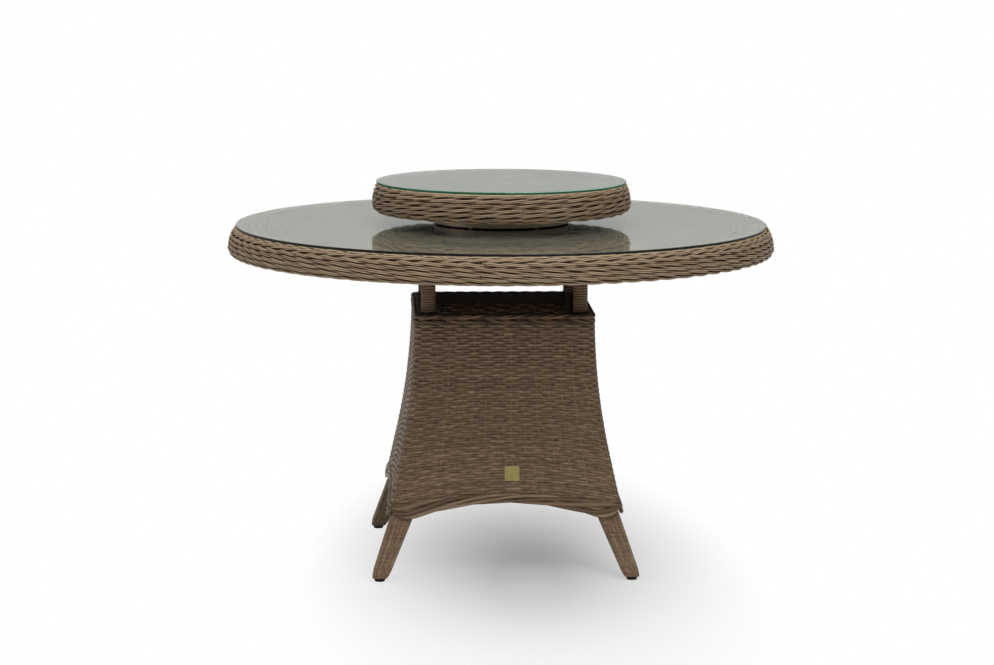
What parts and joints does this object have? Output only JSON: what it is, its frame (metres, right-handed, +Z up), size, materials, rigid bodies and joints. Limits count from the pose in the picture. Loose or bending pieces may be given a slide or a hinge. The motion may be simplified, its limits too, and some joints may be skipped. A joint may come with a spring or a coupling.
{
  "type": "dining table with lazy susan",
  "caption": "Round woven dining table with a loose glass top on a flared square pedestal with splayed feet, and a woven, glass-topped lazy susan that turns on it.",
  "frame": {"origin": "on the floor, on the table's axis, midway between the four feet", "axes": "+Z up along the axis of the table and of the lazy susan, -Y towards the front, where the name plate is"},
  "size_m": [1.1998, 1.2, 0.838],
  "materials": {
    "wicker": "woven resin strands, matt",
    "glass": "polished, ground edge",
    "frame": "powder coat, matt",
    "steel": "zinc plated",
    "aluminium": "turned",
    "clear_pad": "clear, soft",
    "black_plastic": "moulded, matt",
    "brass": "satin"
  },
  "bodies": {
    "table": {"table_glass": "glass", "table_glass_pads": "clear_pad", "table_rim_weave": "wicker", "table_deck_weave": "wicker", "table_hoop_upper": "frame", "table_hoop_lower": "frame", "table_hoop_struts": "frame", "table_long_bars": "frame", "table_cross_bars": "frame", "bar_thread_inserts": "steel", "post_bolts": "steel", "post_bolt_washers": "steel", "post_head_plates": "frame", "leg_tube_front_right": "frame", "post_wrap_front_right": "wicker", "leg_sleeve_front_right": "wicker", "foot_glide_front_right": "black_plastic", "leg_tube_back_right": "frame", "post_wrap_back_right": "wicker", "leg_sleeve_back_right": "wicker", "foot_glide_back_right": "black_plastic", "leg_tube_back_left": "frame", "post_wrap_back_left": "wicker", "leg_sleeve_back_left": "wicker", "foot_glide_back_left": "black_plastic", "leg_tube_front_left": "frame", "post_wrap_front_left": "wicker", "leg_sleeve_front_left": "wicker", "foot_glide_front_left": "black_plastic", "skirt_panel_front": "wicker", "skirt_panel_right": "wicker", "skirt_panel_back": "wicker", "skirt_panel_left": "wicker", "skirt_top_rail": "frame", "skirt_hem_rails": "frame", "skirt_top_braid": "wicker", "skirt_hem_braid": "wicker", "skirt_stays": "frame", "name_plate": "brass", "name_plate_rivets": "brass"},
    "susan_base": {"susan_base_pads": "clear_pad", "susan_base_ring": "aluminium", "bearing_lower_race": "steel", "bearing_lower_screws": "steel"},
    "ball_cage": {"bearing_cage": "black_plastic", "bearing_balls": "steel"},
    "turntable": {"bearing_upper_race": "steel", "bearing_upper_screws": "steel", "susan_bearing_plate": "frame", "susan_plate_screws": "steel", "susan_lower_bars": "frame", "susan_deck_bars": "frame", "susan_hoop_upper": "frame", "susan_hoop_lower": "frame", "susan_hoop_struts": "frame", "susan_rim_weave": "wicker", "susan_deck_weave": "wicker", "susan_glass_pads": "clear_pad", "susan_glass": "glass"}
  },
  "joints": [
    {"name": "susan_lift", "type": "slide", "parent": "table", "child": "susan_base", "axis": [0, 0, 1], "range_m": [0, 0.15]},
    {"name": "susan_spin", "type": "hinge", "parent": "susan_base", "child": "turntable", "pos_m": [0, 0, 0.76375], "axis": [0, 0, 1], "continuous": true},
    {"name": "cage_spin", "type": "hinge", "parent": "susan_base", "child": "ball_cage", "pos_m": [0, 0, 0.76375], "axis": [0, 0, 1], "continuous": true}
  ],
  "couplings": [
    {"joint": "cage_spin", "follows": "susan_spin", "ratio": 0.5}
  ]
}
